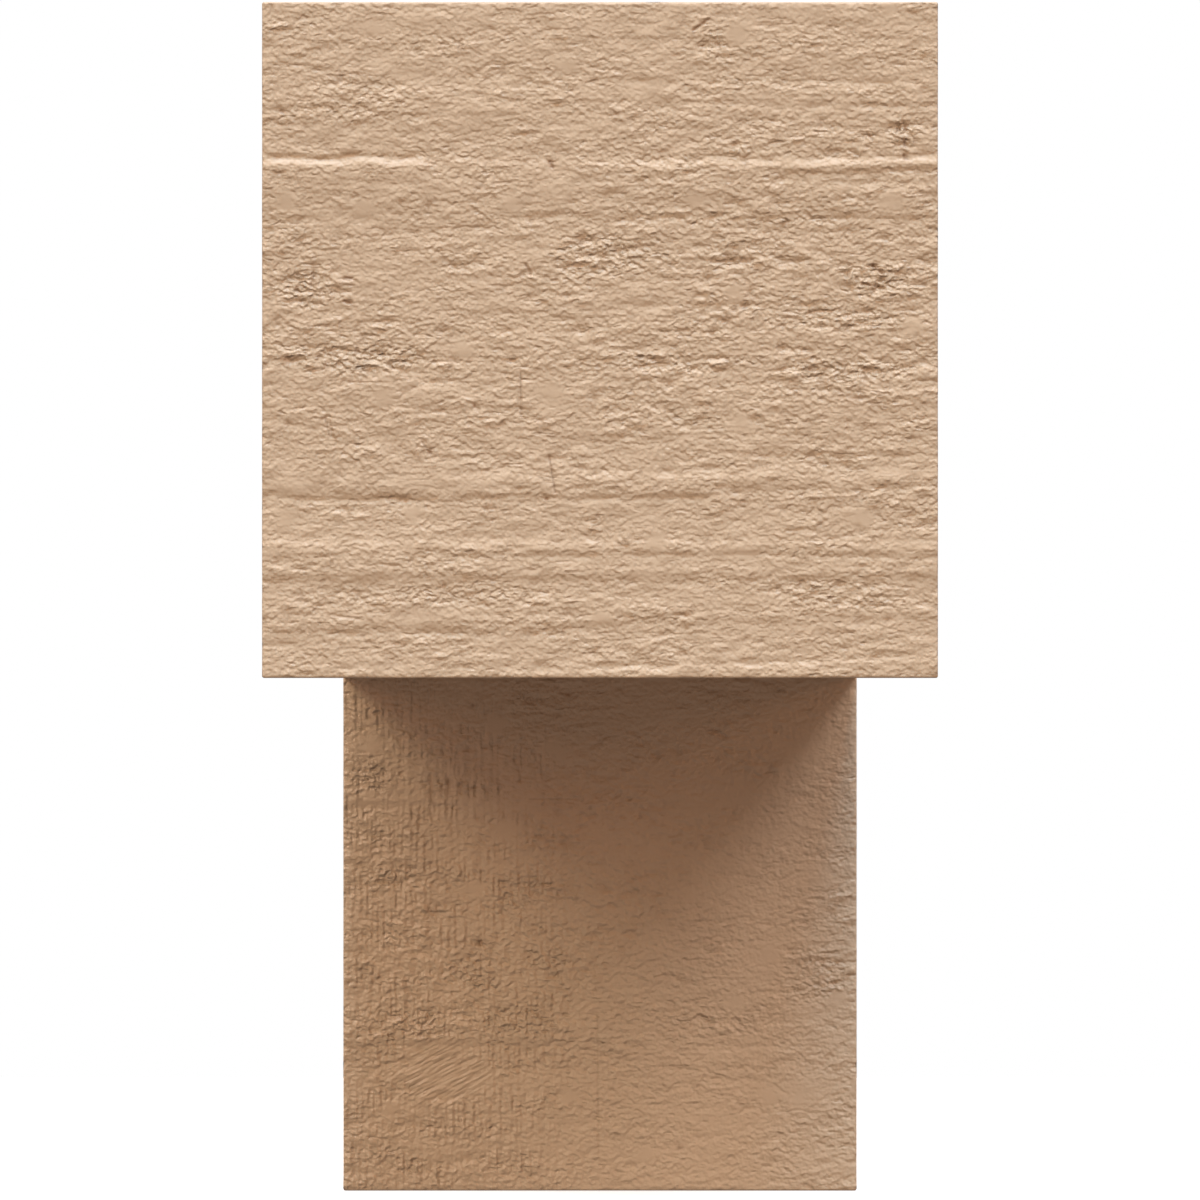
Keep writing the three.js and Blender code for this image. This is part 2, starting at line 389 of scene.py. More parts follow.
# Grain ledges. Each has the half-height of its rise, a number for how much of its crease is
# worn away, and the points that it follows: across, drop, how far the face below it stands
# out, and the depth of the crease along it.
BLOCK_LEDGES = [
    (0.6, 0.3, [
        (-6, 19.6, 0, 0), (4, 19.4, 0.05, 0.34), (50, 19.5, 0.03, 0.30), (83, 19.7, 0.08, 0.36),
    ]),
    (0.7, 0.0, [(-83, 20.6, 0.18, 0), (-40, 21.2, 0.15, 0), (-4, 21.6, 0.12, 0), (4, 21.6, 0, 0)]),
    (0.6, 0.2, [
        (-29, 24.3, 0, 0), (-27, 24.2, 0.05, 0.2), (-17, 24.2, 0.05, 0.2), (-15, 24.3, 0, 0),
    ]),
    (0.6, 0.1, [
        (2, 24.6, 0, 0), (10, 24.6, 0, 0.16), (44, 25.0, 0, 0.16), (47, 25.2, 0, 0.28),
        (83, 25.2, 0, 0.28),
    ]),
    (0.8, 0.1, [(40, 30.6, 0, 0), (48, 30.6, 0.14, 0.24), (83, 30.8, 0.14, 0.24)]),
    (0.85, 0.0, [
        (-83, 39.1, 0.64, 0.50), (-46, 38.8, 0.60, 0.45), (-38, 38.9, 0.25, 0.05),
        (8, 39.4, 0.2, 0), (14, 39.3, 0.45, 0.05), (40, 39.3, 0.45, 0.05), (60, 39.2, 0.55, 0.1),
        (83, 38.5, 0.6, 0.1),
    ]),
    (0.7, 0.1, [(38, 41.4, 0, 0), (48, 41.4, -0.30, 0.14), (83, 40.2, -0.35, 0.16)]),
    (0.9, 0.0, [
        (-83, 45.0, 0.12, 0), (0, 44.2, 0.12, 0), (30, 44.2, 0.20, 0), (50, 44.8, 0.32, 0),
        (83, 44.8, 0.32, 0),
    ]),
    (0.5, 0.1, [
        (2, 74.2, 0, 0), (8, 74.1, 0.04, 0.30), (50, 73.9, 0.04, 0.36), (61, 73.5, 0.04, 0.2),
        (66, 73.4, 0, 0),
    ]),
    (0.5, 0.1, [(46, 75.7, 0, 0), (50, 75.6, 0.04, 0.24), (81, 74.9, 0.04, 0.2), (83, 74.9, 0, 0)]),
    (0.5, 0.1, [(47, 77.5, 0, 0), (51, 77.4, 0.04, 0.22), (65, 77.2, 0.04, 0.2), (69, 77.2, 0, 0)]),
    (0.5, 0.1, [(48, 79.3, 0, 0), (52, 79.2, 0.04, 0.2), (63, 79.0, 0.04, 0.16), (67, 79.0, 0, 0)]),
    (0.6, 0.35, [
        (-83, 52.8, 0, 0.12), (-30, 52.4, -0.05, 0.14), (-20, 52.3, -0.1, 0.26),
        (83, 52.2, -0.1, 0.26),
    ]),
    (0.9, 0.1, [
        (-83, 84.4, 0.15, 0.50), (-79.5, 84.0, 0.15, 0.50), (-74, 84.0, 0.1, 0.40),
        (-60, 85.4, 0.2, 0.34), (-40, 93.2, 0.2, 0.34), (-30, 91.5, 0, 0), (0, 88.6, 0.05, 0.12),
        (24, 89.0, 0.1, 0.24), (34, 91.0, 0, 0), (44.3, 92.8, 0.15, 0.30), (64, 91.0, 0.15, 0.34),
        (83, 87.4, 0.15, 0.30),
    ]),
    (0.9, 0.0, [
        (-83, 94.0, 0.14, 0), (-30, 94.6, 0.08, 0), (0, 94, 0, 0), (44, 95.0, 0.10, 0),
        (83, 94.4, 0.16, 0),
    ]),
    (0.5, 0.3, [(-44, 109.1, 0, 0), (-38, 109.1, 0, 0.22), (-4, 109.1, 0, 0.22), (4, 109.1, 0, 0)]),
    (0.5, 0.3, [(-44, 111.5, 0, 0), (-38, 111.4, 0, 0.3), (-4, 111.4, 0, 0.3), (4, 111.5, 0, 0)]),
    (0.5, 0.3, [(36, 111.0, 0, 0), (42, 110.9, 0, 0.3), (83, 110.8, 0, 0.3)]),
    (0.5, 0.3, [(36, 113.0, 0, 0), (42, 112.9, 0, 0.26), (83, 112.8, 0, 0.26)]),
    (1.2, 0.0, [
        (-83, 116.0, 0.04, 0), (-42, 116.2, 0.08, 0), (-36, 116.0, 0.30, 0), (0, 115.6, 0.26, 0),
        (28, 115.3, 0.28, 0), (60, 115.8, 0.18, 0), (74, 115.2, 0.35, 0), (83, 115.0, 0.35, 0),
    ]),
    (1.5, 0.0, [
        (-83, 118.2, -0.25, 0.20), (-77, 120.0, -0.35, 0.30), (-42, 120.2, -0.32, 0.28),
        (-36, 120.8, -0.14, 0.26), (-11, 121.0, -0.12, 0.32), (27.4, 121.0, -0.12, 0.36),
        (28, 118.0, -0.12, 0.05), (36, 118.6, -0.18, 0.16), (49, 118.6, -0.18, 0.16),
        (60, 119.0, -0.12, 0.05), (74, 117.6, -0.18, 0.18), (83, 117.2, -0.22, 0.20),
    ]),
    (1.0, 0.0, [
        (-83, 131.9, 0.26, 0), (-10, 132.0, 0.22, 0), (8, 131.9, 0.15, 0), (40, 131.9, 0.15, 0),
        (83, 132.3, 0.22, 0),
    ]),
    (0.6, 0.1, [
        (-40, 135.3, 0, 0), (-30, 135.2, -0.04, 0.16), (4, 134.9, -0.08, 0.26),
        (44, 134.8, -0.08, 0.26), (83, 135.6, -0.08, 0.22),
    ]),
    (0.9, 0.0, [
        (-83, 137.6, 0.20, 0), (0, 137.8, 0.16, 0), (30, 138.0, 0.16, 0), (83, 138.2, 0.12, 0),
    ]),
    (1.3, 0.2, [(-83, 140.6, -0.28, 0.06), (0, 140.2, -0.25, 0.04), (83, 140.4, -0.28, 0.06)]),
    (1.0, 0.1, [(-83, 144.8, 0.16, 0), (0, 145.0, 0.1, 0), (83, 145.6, 0.08, 0)]),
    (1.4, 0.1, [
        (-83, 153.2, -0.20, 0.08), (-10, 152.8, -0.22, 0.08), (4, 151.2, -0.18, 0.08),
        (83, 150.6, -0.14, 0.08),
    ]),
    (0.6, 0.4, [
        (-68, 153.8, 0, 0), (-64, 154.1, 0.05, 0.14), (-16, 155.0, 0.05, 0.14), (-12, 155.3, 0, 0),
    ]),
    (0.9, 0.0, [
        (-4, 162.3, 0, 0), (1, 162.2, 0.22, 0.45), (19, 162.2, 0.22, 0.45), (24, 161.9, 0.15, 0.2),
        (32, 161.4, 0.18, 0.4), (49, 160.9, 0.18, 0.36), (60, 160.3, 0.08, 0.2),
        (83, 159.3, 0.08, 0.22),
    ]),
    (0.6, 0.4, [
        (-66, 162.2, 0, 0), (-62, 162.5, 0.05, 0.26), (-12, 162.5, 0.05, 0.26), (-8, 162.2, 0, 0),
    ]),
    (0.6, 0.0, [(-83, 157.0, 0.1, 0.26), (-76, 157.2, 0.1, 0.26), (-73, 157.2, 0, 0)]),
]
FOOT_LEDGES = [
    (0.8, 0.2, [
        (-63.5, 32.0, -0.10, 0.34), (-43, 31.5, -0.10, 0.38), (-42, 32.2, -0.10, 0.38),
        (-36, 32.0, -0.10, 0.34), (-33, 31.6, -0.05, 0.1), (-10, 30.4, 0, 0),
    ]),
    (0.8, 0.0, [
        (-63.5, 50.8, -0.05, 0.40), (-50, 50.7, -0.05, 0.40), (-48, 49.6, 0, 0.32),
        (-40, 49.4, 0, 0.30), (-35, 49.4, 0, 0),
    ]),
    (0.5, 0.2, [
        (-63.5, 110.6, 0, 0.24), (-40, 110.6, 0, 0.22), (-37, 110.6, 0, 0), (-14, 110.4, 0, 0),
        (-11, 110.4, 0, 0.18), (0, 110.4, 0, 0.18), (3, 110.4, 0, 0),
    ]),
    (1.5, 0.0, [
        (-63.5, 85.0, 0.3, 0), (0, 84.6, 0.25, 0), (14, 84.4, 0.1, 0.04), (20, 84.4, 0.05, 0.14),
        (44, 85.1, 0.05, 0.14), (48, 85.0, 0, 0),
    ]),
    (0.8, 0.1, [
        (-63.5, 90.2, -0.30, 0.24), (-2, 90.2, -0.25, 0.18), (6, 90.0, 0, 0), (20, 91.0, 0, 0),
        (23.6, 91.0, 0.05, 0.24), (43, 91.0, 0.05, 0.22), (47, 90.0, 0, 0),
        (48.5, 88.6, 0.05, 0.24), (50.5, 88.6, 0.05, 0.2), (53, 88.6, 0, 0),
    ]),
    (0.6, 0.3, [
        (-63.5, 120.0, 0.05, 0.22), (-38, 119.8, 0.05, 0.24), (-10, 119.6, 0.05, 0.22),
        (0, 119.6, 0, 0),
    ]),
    (0.5, 0.1, [(-63.5, 122.0, 0, 0.30), (-46, 121.8, 0, 0.28), (-40, 121.8, 0, 0)]),
    (0.7, 0.1, [(50, 120.2, 0, 0), (57, 120.0, 0.05, 0.24), (63.5, 120.0, 0.05, 0.24)]),
]

# Torn patches: middle, half-width, half-height, and strength
BLOCK_TEARS = [
    (0, 62, 14, 6, 1.0),
    (68, 68, 9, 4.5, 1.3),
    (62, 77.5, 22, 3.5, 0.8),
    (-72, 70, 11, 6, 1.0),
    (-60, 87, 24, 4.5, 1.2),
    (20, 88, 22, 3, 0.8),
    (62, 90, 20, 3, 1.1),
    (28, 10, 5, 4, 0.8),
    (74, 33, 4, 5, 1.2),
    (22, 40, 4, 3, 0.7),
    (34, 35, 4, 3, 0.7),
    (35, 61, 14, 5, 0.7),
    (-45, 145, 34, 4, 0.6),
    (58, 145, 20, 5, 0.7),
    (-60, 24, 18, 8, 0.5),
]
FOOT_TEARS = [
    (-57, 26, 6, 8, 0.8),
    (-45, 50, 14, 3, 0.7),
    (-36, 85.5, 34, 5.5, 0.7),
    (-30, 72, 9, 7, 0.4),
    (52, 74, 10, 8, 0.8),
    (28, 84, 20, 5, 0.5),
]

# Rougher parts, in the same form
BLOCK_ROUGH = [
    (45, 70, 75, 55, 0.20),
    (-20, 75, 60, 45, 0.10),
]
FOOT_ROUGH = [
    (2, 66, 34, 55, 0.42),
    (-40, 70, 30, 62, 0.16),
    (54, 112, 22, 22, 0.08),
]

# Slanting saw marks, in the same form
FOOT_SLANTS = [
    (-39.5, 98.4, 14, 11, 1.0),
]

# Smooth spots: middle and radius
BLOCK_SPOTS = [
    (-54.6, 6.4, 3.2), (-8.7, 15.9, 3.4), (33.8, 7.8, 4.6), (70.5, 1.5, 3.0), (-76.8, 48.6, 3.6),
    (-57.3, 50.6, 3.2), (-21.9, 49.1, 3.8), (23.3, 48.6, 3.2), (70.9, 48.6, 4.4), (32.8, 70.8, 3.6),
    (76.3, 79.1, 3.2), (-33.1, 85.0, 3.2), (-11.8, 95.5, 3.4), (-53.1, 96.5, 3.2), (34.6, 102.8, 3.8),
    (-45.8, 125.0, 3.0), (-76.3, 126.0, 3.2), (63.6, 126.0, 3.6), (36.0, 134.6, 2.8),
    (13.3, 131.9, 3.4), (0.6, 150.4, 3.2),
]
FOOT_SPOTS = [
    (-56.5, 17.0, 3.6), (-57.3, 30.2, 3.4), (-25.8, 11.8, 4.4), (-11.1, 17.5, 4.0), (-22.5, 38.0, 4.4),
    (-31.2, 52.6, 3.8), (42.2, 68.6, 3.4), (33.3, 80.7, 3.6), (11.1, 118.1, 3.4), (42.1, 104.2, 3.2),
    (49.0, 104.2, 3.2), (58.7, 79.5, 3.4), (-8.0, 104.0, 3.2), (-52.0, 107.0, 3.4),
]

# Cuts: start, end, half-width and depth. A pit is a cut whose ends meet.
BLOCK_CUTS = [
    (-19.4, 90.4, -19.2, 100.8, 0.20, 0.28),
    (-23.1, 91.0, -23.1, 91.0, 0.34, 0.24),
    (-12.4, 110.8, -10.9, 119.8, 0.20, 0.35),
    (-67.0, 101.6, -66.2, 105.6, 0.24, 0.28),
    (-65.9, 102.4, -65.3, 106.0, 0.20, 0.22),
    (-43.4, 107.6, -41.5, 110.3, 0.24, 0.26),
    (-41.5, 110.1, -41.5, 110.1, 0.42, 0.42),
    (-30.6, 98.6, -30.6, 98.6, 0.38, 0.40),
    (-13.0, 121.3, -13.0, 121.3, 0.42, 0.40),
    (22.8, 6.9, 26.5, 4.2, 0.26, 0.34),
    (74.2, 29.6, 74.6, 31.2, 0.34, 0.40),
    (74.2, 33.6, 74.6, 35.0, 0.36, 0.42),
    (74.2, 37.3, 74.4, 38.2, 0.34, 0.40),
    (65.1, 31.8, 66.6, 33.7, 0.24, 0.26),
    (-12.2, 39.1, -11.6, 40.3, 0.42, 0.45),
    (-70.2, 66.2, -70.2, 69.4, 0.26, 0.28),
    (-62.4, 67.4, -60.6, 67.5, 0.32, 0.38),
    (-62.4, 73.1, -60.8, 73.5, 0.34, 0.38),
    (-18.2, 64.0, -16.9, 66.4, 0.28, 0.32),
    (-78.0, 26.4, -77.4, 26.9, 0.40, 0.25),
    (66.6, 64.4, 69.0, 66.2, 0.30, 0.36),
    (64.2, 68.8, 68.2, 69.6, 0.28, 0.32),
]
FOOT_CUTS = [
    (-41.9, 24.5, -41.5, 31.0, 0.36, 0.34),
    (-39.2, 26.0, -39.1, 28.6, 0.30, 0.26),
    (-37.5, 25.2, -37.2, 28.6, 0.32, 0.30),
    (-34.4, 25.4, -34.2, 28.8, 0.28, 0.26),
    (-31.1, 27.2, -31.0, 29.4, 0.32, 0.28),
    (-27.8, 28.4, -27.8, 30.4, 0.28, 0.24),
    (-20.2, 22.3, -19.6, 26.0, 0.20, 0.24),
    (-49.3, 14.3, -49.3, 24.5, 0.22, 0.20),
    (-36.6, 16.2, -36.6, 22.3, 0.20, 0.16),
    (-17.4, 30.2, -5.3, 30.2, 0.18, 0.16),
    (-0.6, 84.0, -0.4, 120.0, 0.20, 0.16),
    (-31.5, 7.0, -31.5, 7.0, 0.40, 0.35),
    (-30.2, 35.0, -30.2, 35.0, 0.38, 0.35),
    (-29.8, 65.6, -29.7, 66.1, 0.50, 0.60),
    (-44.6, 32.6, -44.6, 36.8, 0.20, 0.22),
    (-42.7, 32.4, -42.8, 36.6, 0.20, 0.22),
    (-36.5, 32.4, -36.7, 36.6, 0.22, 0.24),
    (19.4, 74.4, 19.4, 74.4, 0.42, 0.40),
    (19.4, 116.6, 19.4, 116.6, 0.42, 0.35),
    (3.0, 101.9, 3.0, 101.9, 0.40, 0.30),
]


def blend(low, high, value):
    """A smooth rise from 0 at low to 1 at high."""
    t = np.clip((value - low) / (high - low), 0, 1)
    return t * t * (3 - 2 * t)


def noise(u, v, seed):
    """Smooth gradient noise over a plane, about -1 to 1, with cells of size 1."""
    random = np.random.default_rng(seed)
    order = np.tile(random.permutation(NOISE_CELLS), 2)
    angles = random.uniform(0, 2 * np.pi, NOISE_CELLS)
    u, v = np.broadcast_arrays(u, v)
    cell_u = np.floor(u).astype(int)
    cell_v = np.floor(v).astype(int)
    part_u = u - cell_u
    part_v = v - cell_v

    def corner(step_u, step_v):
        column = order[(cell_u + step_u) % NOISE_CELLS]
        slot = order[column + (cell_v + step_v) % NOISE_CELLS]
        return np.cos(angles[slot]) * (part_u - step_u) + np.sin(angles[slot]) * (part_v - step_v)

    ease_u = part_u ** 3 * (part_u * (6 * part_u - 15) + 10)
    ease_v = part_v ** 3 * (part_v * (6 * part_v - 15) + 10)
    near = corner(0, 0) * (1 - ease_u) + corner(1, 0) * ease_u
    far = corner(0, 1) * (1 - ease_u) + corner(1, 1) * ease_u
    return NOISE_GAIN * (near * (1 - ease_v) + far * ease_v)


def layer(name, across, drop, seed):
    """One of a face's random layers, about -1 to 1."""
    shift, length, height = LAYERS[name]
    return noise(across / length, drop / height, seed + shift)


def lumps(across, drop, size, seed):
    """Rounded lumps with sharp creases between them, a little longer than they are high."""
    swell = noise(across / (LUMP_LENGTH * size), drop / size, seed)
    fold = np.abs(noise(across / (LUMP_LENGTH * size), drop / size, seed + FOLD_SEED))
    return LUMP_FOLD * np.minimum(fold, FOLD_LIMIT) + LUMP_SWELL * swell


def plates(across, drop, kind, seed, more):
    """Small raised or sunk plates, 0 to 1, steep along one long edge and sloping at the other.

    A lean above 0 puts the steep edge on top, and below 0 underneath.
    """
    shift, length, height, lean, _ = kind
    steep = noise(across / length, drop / height, seed + shift) + more
    slope = noise(across / length, drop / height + lean, seed + shift) + more
    return blend(*PLATE_STEEP, steep) * blend(*PLATE_SLOPE, slope)


def ledge_depth(across, drop, ledges, seed):
    """The ledges' depth: a rise that fades further down, and a worn crease along it.

    Also gives how far the steep part of a ledge wipes out the finer grain.
    """
    depth = np.zeros_like(across)
    wiped = np.zeros_like(across)
    for number, (rise, worn, path) in enumerate(ledges):
        marks, drops, stands, creases = zip(*path)
        row = LEDGE_ROWS * number
        line = np.interp(across, marks, drops)
        line = line + SWAY_HEIGHT * noise(across / SWAY_LENGTH, row, seed)
        line = line + QUIVER_HEIGHT * noise(across / QUIVER_LENGTH, row, seed + 1)
        below = drop - line
        uneven = 1 + STAND_SWAY * noise(across / STAND_LENGTH, row, seed + 2)
        stand = np.interp(across, marks, stands, 0, 0) * uneven
        depth -= stand * blend(-rise, rise, below) * (1 - blend(2 * rise, LEDGE_FADE, below))

        gaps = noise(across / WORN_LENGTH, row + 0.5, seed + 3)
        kept = blend(worn + WORN_NOISE[0], worn + WORN_NOISE[1], gaps)
        above = (rise + OUTWARD_LIFT) * blend(*OUTWARD_STAND, stand)
        under = INWARD_SHARE * rise * blend(*INWARD_STAND, -stand)
        off = below + above - under
        reach = off / np.where(off < 0, CREASE_ABOVE, CREASE_BELOW)
        depth += np.interp(across, marks, creases, 0, 0) * kept * np.exp(-reach ** 2)

        steep = blend(*WIPING_STAND, np.abs(stand)) * np.exp(-(below / rise) ** 2)
        wiped = np.maximum(wiped, steep)
    return depth, wiped


def patch_mask(across, drop, patches):
    """The strength of the patches that a face has, with soft edges."""
    mask = np.zeros_like(across)
    for middle, height, half_width, half_height, strength in patches:
        reach = np.hypot((across - middle) / half_width, (drop - height) / half_height)
        mask = np.maximum(mask, strength * (1 - blend(*PATCH_BORDER, reach)))
    return mask


def spot_mask(across, drop, spots):
    """1 where the face is smooth, 0 where its grain shows."""
    mask = np.zeros_like(across)
    ragged = SPOT_RAGGED * noise(across / SPOT_CELL[0], drop / SPOT_CELL[1], SPOT_SEED)
    for middle, height, radius in spots:
        reach = np.hypot((across - middle) / SPOT_STRETCH, drop - height) / radius
        mask = np.maximum(mask, 1 - blend(*SPOT_BORDER, reach + ragged))
    return mask


def cut_reach(across, drop, cut):
    """Distance from a cut's line. Where its ends meet, the share along it is 0."""
    x0, y0, x1, y1 = cut[:4]
    run_x, run_y = x1 - x0, y1 - y0
    squared = run_x ** 2 + run_y ** 2 or 1
    share = np.clip(((across - x0) * run_x + (drop - y0) * run_y) / squared, 0, 1)
    return np.hypot(across - x0 - share * run_x, drop - y0 - share * run_y)


def cut_depth(across, drop, cuts):
    """Depth of the knife-thin cuts and the pits."""
    depth = np.zeros_like(across)
    for cut in cuts:
        half_width, deepest = cut[4:]
        reach = cut_reach(across, drop, cut)
        soft = CUT_SOFTNESS * half_width
        depth = np.maximum(depth, deepest * np.exp(-(reach / soft) ** 2))
    return depth


def swell_depth(across, drop, seed):
    """Depth of the broad and middle lumps."""
    depth = np.zeros_like(across)
    for shift, size, height in (BROAD_LUMPS, MIDDLE_LUMPS):
        depth += height * lumps(across, drop, size, seed + shift)
    return depth


def wrinkle_depth(across, drop, rough, seed):
    """Depth of the small lumps and plates, and the notch mask into which shade is painted."""
    shift, size, height = SMALL_LUMPS
    lean = SMALL_LEAN * lumps(across, drop, size, seed + shift)
    depth = height * lumps(across, drop + lean, size, seed + shift)
    more = CROWDING * layer("crowded", across, drop, seed)
    more += CROWDED_BY_ROUGH * (rough - USUAL_ROUGH)
    masks = {}
    for kind in (NOTCH, FLAKE, SMALL_NOTCH, SMALL_FLAKE):
        masks[kind] = plates(across, drop, kind, seed, more)
        depth += kind[-1] * masks[kind]
    return depth, np.maximum(masks[NOTCH], DARK_SMALL_NOTCH * masks[SMALL_NOTCH])


def grain_face(across, drop, details):
    """Depth of a carved face, and the strengths of the material's fine grain and painted shade on it.
    """
    seed = details["seed"]
    swell_and_painted_shade = details["swell_and_painted_shade"]
    torn = patch_mask(across, drop, details["tears"])
    slant = patch_mask(across, drop, details["slants"])
    smooth = spot_mask(across, drop, details["spots"])
    cut = cut_depth(across, drop, details["cuts"])
    ledge, wiped = ledge_depth(across, drop, details["ledges"], seed)

    upright = blend(*UPRIGHT_START, across) * details["upright"]
    streaky = blend(*UPRIGHT_NOISE, layer("streaky", across, drop, seed))
    upright *= UPRIGHT_LEAST + UPRIGHT_MORE * streaky
    rough = ROUGH_LEVEL + ROUGH_UNEVEN * layer("uneven", across, drop, seed)
    rough += ROUGH_PATCHY * layer("patchy", across, drop, seed)
    rough += ROUGH_TORN * torn + patch_mask(across, drop, details["rough"])
    rough = np.clip(rough, *ROUGH_LIMITS)
    rough *= (1 - SPOT_SMOOTHING * smooth) * (1 - LEDGE_SMOOTHING * wiped)

    swell = swell_depth(across, drop, seed) * (UNWORN_SWELL + (1 - UNWORN_SWELL) * swell_and_painted_shade)
    wrinkle, notched = wrinkle_depth(across, drop, rough, seed)
    scars = layer("scar", across, drop, seed) + layer("long_scar", across, drop, seed)
    broken = torn * (1 - smooth)
    chips = blend(*CHIP_NOISE, layer("chip", across, drop, seed)) * broken
    pits = blend(*PIT_NOISE, layer("pit", across, drop, seed)) * broken
    depth = GROUND + ledge + cut + swell * (1 - SPOT_SWELL * smooth)
    depth += (wrinkle + SCAR_DEPTH * scars * upright) * rough
    depth += CHIP_DEPTH * chips + PIT_DEPTH * pits

    # Shade painted into the colour of the notches and cuts
    dark = DARK_NOTCH * notched ** 2 * rough * swell_and_painted_shade + (1 + swell_and_painted_shade) / 2 * cut / DARK_DEPTH
    strengths = {
        "rough": rough * (1 - SLANT_CALM * slant) * (1 + UPRIGHT_ROUGH * upright),
        "painted_hollow_shade": np.clip(dark, 0, 1),
        "painted_dip_shade": np.full_like(across, details["painted_dip_shade"]),
        "upright": upright * (1 - smooth) * (1 - SLANT_UPRIGHT_CALM * slant),
        "slant": slant,
    }
    strengths["rough"] *= 1 + TORN_ROUGH * torn
    return depth, strengths


def axis_facing(mesh):
    """For each vertex, the signs of the axes that its faces look along, on the flat shell."""
    normals = np.zeros(3 * len(mesh.polygons))
    mesh.polygon_normals.foreach_get("vector", normals)
    normals = np.rint(normals.reshape(-1, 3))
    totals = np.zeros(len(mesh.polygons), dtype=int)
    mesh.polygons.foreach_get("loop_total", totals)
    corners = np.zeros(len(mesh.loops), dtype=int)
    mesh.loops.foreach_get("vertex_index", corners)
    facing = np.zeros((len(mesh.vertices), 3))
    np.add.at(facing, corners, np.repeat(normals, totals, axis=0))
    return np.sign(facing)


def face_lists():
    """The two carved faces: their planes, edges and details, in millimetres.

    upright says whether a face has upright grain on its left. wear is the strength of its
    broad swell and of the shade painted into its hollows, and painted_dip_shade that of the shade
    painted into its dips.
    """
    p = {name: value / MM for name, value in PLANES.items()}
    block = {
        "at": p["front"],
        "top": p["top"],
        "bottom": p["underside"],
        "ledges": BLOCK_LEDGES,
        "tears": BLOCK_TEARS,
        "rough": BLOCK_ROUGH,
        "slants": [],
        "spots": BLOCK_SPOTS,
        "cuts": BLOCK_CUTS,
        "upright": 0,
        "swell_and_painted_shade": 1,
        "painted_dip_shade": 0.306,
        "seed": 100,
    }
    foot = {
        "at": p["foot_face"],
        "top": p["underside"],
        "bottom": p["bottom"],
        "ledges": FOOT_LEDGES,
        "tears": FOOT_TEARS,
        "rough": FOOT_ROUGH,
        "slants": FOOT_SLANTS,
        "spots": FOOT_SPOTS,
        "cuts": FOOT_CUTS,
        "upright": 1,
        "swell_and_painted_shade": 0.2,
        "painted_dip_shade": 0.091,
        "seed": 200,
    }
    return block, foot


def side_depth(out, drop):
    """Depth of the long level grain on the sides."""
    course = np.zeros_like(out)
    for seed, length, height, strength in COURSES:
        course += strength * noise(out / length, drop / height, seed)
    depth = SIDE_GROUND + COURSE_DEPTH * blend(-COURSE_NOISE, COURSE_NOISE, course)
    for seed, stretch, size, height in SIDE_LUMPS:
        depth += height * lumps(out / stretch, drop, size, seed)
    return np.maximum(depth, 0)


def side_fade(points):
    """0 along the edges of the side faces, 1 a little way in."""
    p = {name: value / MM for name, value in PLANES.items()}
    _, y, z = points.T / MM
    behind = y - p["foot_face"]
    above = z - p["underside"]
    foot_edge = np.hypot(behind, np.maximum(above, 0))
    under_edge = np.hypot(above, np.maximum(behind, 0))
    fade = blend(0, SIDE_EDGE_FADE, np.minimum(foot_edge, under_edge))
    for edge in (p["front"], p["block_back"], 0):
        fade *= blend(0, SIDE_EDGE_FADE, np.abs(y - edge))
    fade *= blend(0, SIDE_END_FADE, np.minimum(p["top"] - z, z - p["bottom"]))
    return fade


def carve(points, facing):
    """The carved points in metres, and the strengths of the fine grain and the painted shade at each
    of them.
    """
    x, y, z = points.T / MM
    moved = points.copy()
    grain = {name: np.full(len(points), value) for name, value in PLAIN_GRAIN.items()}
    single = np.abs(facing).sum(axis=1) == 1

    for face in face_lists():
        behind = y - face["at"]
        level = (z < face["top"] + ON_PLANE) & (z > face["bottom"] - ON_PLANE)
        on = (behind > -ON_PLANE) & (behind < FACE_FADE) & level
        sunk, strengths = grain_face(x[on], face["top"] - z[on], face)
        moved[on, 1] += np.maximum(sunk, 0) * (1 - blend(0, FACE_FADE, behind[on])) * MM
        front = on & (facing[:, 1] < 0) & (behind < ON_PLANE)
        for name, values in strengths.items():
            grain[name][front] = values[front[on]]

    side = single & (facing[:, 0] != 0)
    sunk = side_depth(y[side], PLANES["top"] / MM - z[side]) * side_fade(points[side])
    moved[side, 0] -= facing[side, 0] * sunk * MM
    grain["rough"][side] = SIDE_ROUGH
    grain["sawn"][side] = 1
    grain["rough"][single & (facing[:, 2] < 0)] = UNDER_ROUGH
    return moved, grain


def split_near_cuts(net):
    """Splits the cells of the flat shell that lie on a cut or a pit."""
    cells = set()
    for face in face_lists():
        front = [
            f for f in net.faces
            if f.normal.y < -0.5 and abs(f.verts[0].co.y / MM - face["at"]) < ON_PLANE
        ]
        middles = np.array([f.calc_center_median() for f in front]) / MM
        across, drop = middles[:, 0], face["top"] - middles[:, 2]
        near = np.zeros(len(front), dtype=bool)
        for cut in face["cuts"]:
            near |= cut_reach(across, drop, cut) < CUT_NEAR
        cells.update(front[i] for i in np.flatnonzero(near))
    edges = {edge for cell in cells for edge in cell.edges}
    order = sorted(edges, key=lambda edge: edge.index)
    bmesh.ops.subdivide_edges(net, edges=order, cuts=CUT_SPLITS, use_grid_fill=True)


